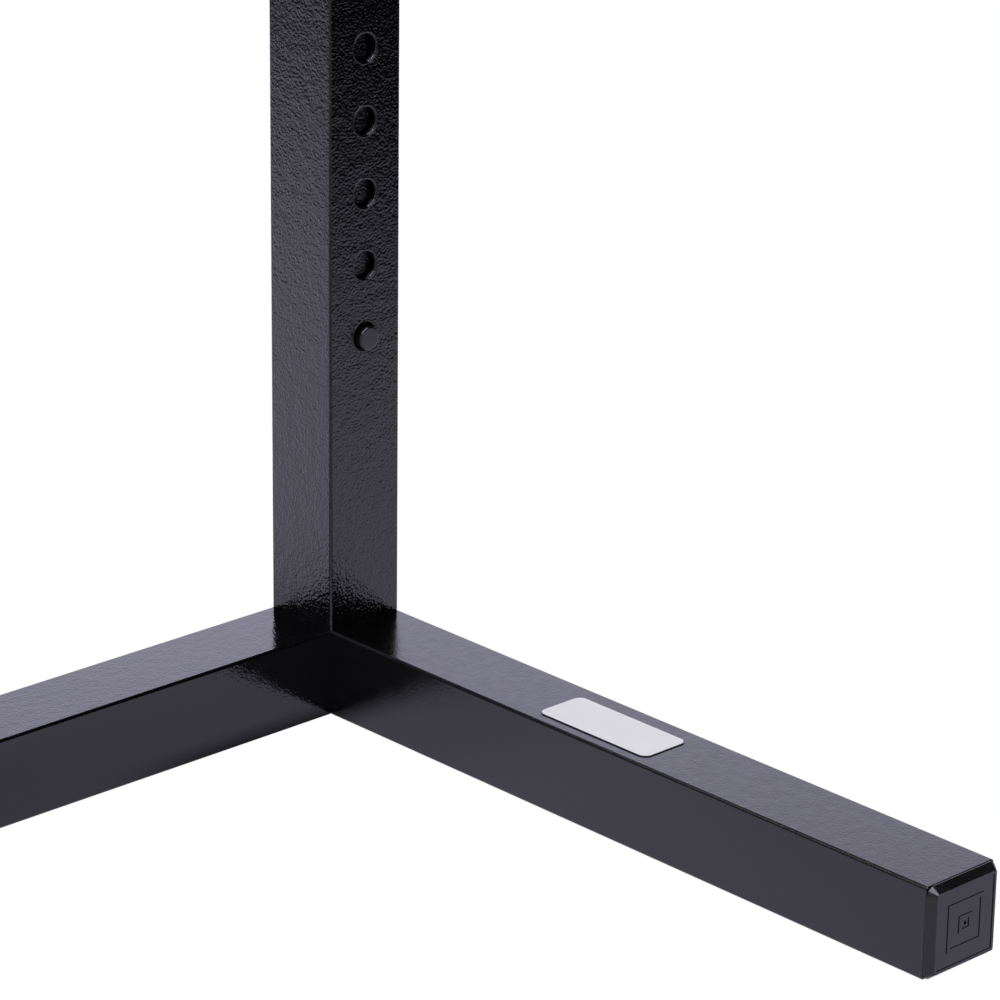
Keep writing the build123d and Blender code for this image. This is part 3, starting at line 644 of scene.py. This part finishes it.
def ramp(tree, source, output, limits, ends):
    """A smooth step between two limits. Each of its ends is a number or a node whose result it takes."""
    step = place(tree, "ShaderNodeMapRange", {"From Min": limits[0], "From Max": limits[1]},
                 interpolation_type="SMOOTHSTEP")
    join(tree, source, output, step, "Value")
    for socket, end in zip(("To Min", "To Max"), ends):
        if isinstance(end, bpy.types.Node):
            join(tree, end, 0, step, socket)
        else:
            step.inputs[socket].default_value = end
    return step


def combine(tree, operation, first, first_output, second, second_output):
    """A Math node of two nodes' outputs."""
    node = place(tree, "ShaderNodeMath", operation=operation)
    join(tree, first, first_output, node, 0)
    join(tree, second, second_output, node, 1)
    return node


def light_by_ray(tree, kind, glow, output_kind):
    """Plain white where it is seen, and tinted light of a changing strength where it is mirrored."""
    mirrored = place(tree, kind, {"Color": LIGHT_TINT})
    join(tree, glow, 0, mirrored, "Strength")
    seen = place(tree, kind, {"Color": PLAIN_WHITE, "Strength": 1.0})
    rays = place(tree, "ShaderNodeLightPath")
    reflected = combine(tree, "SUBTRACT", rays, "Is Glossy Ray", rays, "Is Transmission Ray")
    reflected.use_clamp = True
    blend = place(tree, "ShaderNodeMixShader")
    join(tree, reflected, "Value", blend, "Fac")
    join(tree, seen, 0, blend, 1)
    join(tree, mirrored, 0, blend, 2)
    join(tree, blend, "Shader", place(tree, output_kind), "Surface")


table_mesh = bmesh.new()
bmesh.ops.create_grid(table_mesh, x_segments=1, y_segments=1, size=TABLE_REACH)
bmesh.ops.translate(table_mesh, vec=(0, 0, -TABLE_DROP), verts=table_mesh.verts)
floor_data = bpy.data.meshes.new("floor")
table_mesh.to_mesh(floor_data)
table_mesh.free()
floor = bpy.data.objects.new("floor", floor_data)
bpy.context.scene.collection.objects.link(floor)

white_table = bpy.data.materials.new("white_table")
white_table.use_nodes = True
tree = white_table.node_tree
tree.nodes.clear()
on_table = place(tree, "ShaderNodeTexCoord")
table_axes = place(tree, "ShaderNodeSeparateXYZ")
join(tree, on_table, "Object", table_axes, "Vector")
from_middle = place(tree, "ShaderNodeMath", operation="ABSOLUTE")
join(tree, table_axes, "X", from_middle, 0)
along_pool = reach_along(tree, on_table, "Object", POOL_AXIS)

middle_pool = ramp(tree, table_axes, "Y", MIDDLE_FADE, (MIDDLE_GLOW, MIDDLE_FAR_GLOW))
# Painted shadow: the mirrored glow is darker within a few centimetres of the cross tube.
behind_tube = ramp(tree, table_axes, "Y", TUBE_SHADOW_FADE, (TUBE_SHADOW_GLOW, middle_pool))
foot_pool = ramp(tree, table_axes, "Y", FOOT_FADE, (TUBE_SHADOW_GLOW, FOOT_GLOW))
# Painted contact shadow: darker still right against the cross tube, next to each foot.
contact_shade = ramp(tree, table_axes, "Y", CONTACT_SHADOW_FADE, (CONTACT_SHADOW_GLOW, 1.0))
beside_foot = combine(tree, "MULTIPLY", foot_pool, "Result", contact_shade, "Result")
between_feet = ramp(tree, from_middle, "Value", INSIDE_FOOT, (behind_tube, beside_foot))
outer_pool = ramp(tree, along_pool, "Value", SERVER_FADE, (OUTER_GLOW, 0.0))
server_side = ramp(tree, from_middle, "Value", OUTSIDE_FOOT, (between_feet, outer_pool))
front_pool = ramp(tree, along_pool, "Value", FRONT_FADE, (FRONT_GLOW, FRONT_FAR_GLOW))
table_glow = ramp(tree, table_axes, "Y", CUSTOMER_SIDE, (server_side, front_pool))
light_by_ray(tree, "ShaderNodeEmission", table_glow, "ShaderNodeOutputMaterial")
floor_data.materials.append(white_table)


# --- Studio: a white sweep round the table and a softbox over the camera --------------------------
# The sweep burns out to white as well. What the coat mirrors is lit paper behind and in front of the
# guard, a little to one side and overhead, dark between, and the softbox's long bright bar.

SWEEP_BEHIND = Vector((-0.68, -0.73, 0)).normalized()
SWEEP_SIDE = Vector((0.72, -0.69, 0)).normalized()
SWEEP_TOP = Vector((0.0, -0.78, 0.62)).normalized()
LAMP_ENDS = [Vector((0.42, 0.52, 0.745)).normalized(), Vector((-0.12, 0.57, 0.81)).normalized()]
SWEEP_BEHIND_GLOW = 1.65
SWEEP_BEFORE_GLOW = 0.7
SWEEP_SIDE_GLOW = 0.2
SWEEP_TOP_GLOW = 0.2
DARK_GLOW = 0.01
LAMP_GLOW = 7.0
BEHIND_SPREAD = (0.62, 0.86)
BEFORE_SPREAD = (-0.35, -0.75)
SIDE_SPREAD = (0.80, 0.92)
SWEEP_RISE = (0.36, 0.59)
TOP_SPREAD = (0.75, 0.90)
LAMP_SPREAD = (0.945, 0.965)

studio = bpy.data.worlds.new("studio")
bpy.context.scene.world = studio
studio.use_nodes = True
tree = studio.node_tree
tree.nodes.clear()
direction = place(tree, "ShaderNodeTexCoord")
direction_axes = place(tree, "ShaderNodeSeparateXYZ")
join(tree, direction, "Generated", direction_axes, "Vector")
level = place(tree, "ShaderNodeVectorMath", {1: (1, 1, 0)}, operation="MULTIPLY")
join(tree, direction, "Generated", level, 0)
heading = place(tree, "ShaderNodeVectorMath", operation="NORMALIZE")
join(tree, level, "Vector", heading, 0)

facing = reach_along(tree, heading, "Vector", SWEEP_BEHIND)
behind = ramp(tree, facing, "Value", BEHIND_SPREAD, (0.0, SWEEP_BEHIND_GLOW))
before = ramp(tree, facing, "Value", BEFORE_SPREAD, (0.0, SWEEP_BEFORE_GLOW))
sideways = reach_along(tree, heading, "Vector", SWEEP_SIDE)
beside = ramp(tree, sideways, "Value", SIDE_SPREAD, (0.0, SWEEP_SIDE_GLOW))
front_and_back = combine(tree, "ADD", behind, "Result", before, "Result")
all_round = combine(tree, "ADD", front_and_back, "Value", beside, "Result")
sweep_wall = ramp(tree, direction_axes, "Z", SWEEP_RISE, (all_round, 0.0))
overhead = reach_along(tree, direction, "Generated", SWEEP_TOP)
sweep_top = ramp(tree, overhead, "Value", TOP_SPREAD, (0.0, SWEEP_TOP_GLOW))
sweep = combine(tree, "MAXIMUM", sweep_wall, "Result", sweep_top, "Result")
near_ends = [reach_along(tree, direction, "Generated", lamp_end) for lamp_end in LAMP_ENDS]
near_lamp = combine(tree, "MAXIMUM", near_ends[0], "Value", near_ends[1], "Value")
lamp = ramp(tree, near_lamp, "Value", LAMP_SPREAD, (DARK_GLOW, LAMP_GLOW))
studio_glow = combine(tree, "ADD", sweep, "Value", lamp, "Result")
light_by_ray(tree, "ShaderNodeBackground", studio_glow, "ShaderNodeOutputWorld")


# --- Camera: a long lens over the server's left shoulder ------------------------------------------
# It looks down on the corner of the base where the left post, its foot and the cross tube meet, and
# crops the rest of the guard.

CAMERA_PLACE = (0.5367421, 1.2947692, 0.7256124)
CAMERA_YAW = -2.3278185
CAMERA_PITCH = -0.3557928
CAMERA_ROLL = 0.0128767
CAMERA_LENS = 155.70828
CAMERA_SENSOR = 36.0

aim = Vector((math.cos(CAMERA_PITCH) * math.cos(CAMERA_YAW),
              math.cos(CAMERA_PITCH) * math.sin(CAMERA_YAW), math.sin(CAMERA_PITCH)))
camera_data = bpy.data.cameras.new("camera")
camera_data.lens = CAMERA_LENS
camera_data.sensor_width = CAMERA_SENSOR
camera = bpy.data.objects.new("camera", camera_data)
camera.location = CAMERA_PLACE
camera.rotation_mode = "QUATERNION"
camera.rotation_quaternion = aim.to_track_quat("-Z", "Y") @ Quaternion((0, 0, 1), CAMERA_ROLL)
bpy.context.scene.collection.objects.link(camera)
bpy.context.scene.camera = camera
bpy.context.scene.view_settings.view_transform = "Standard"
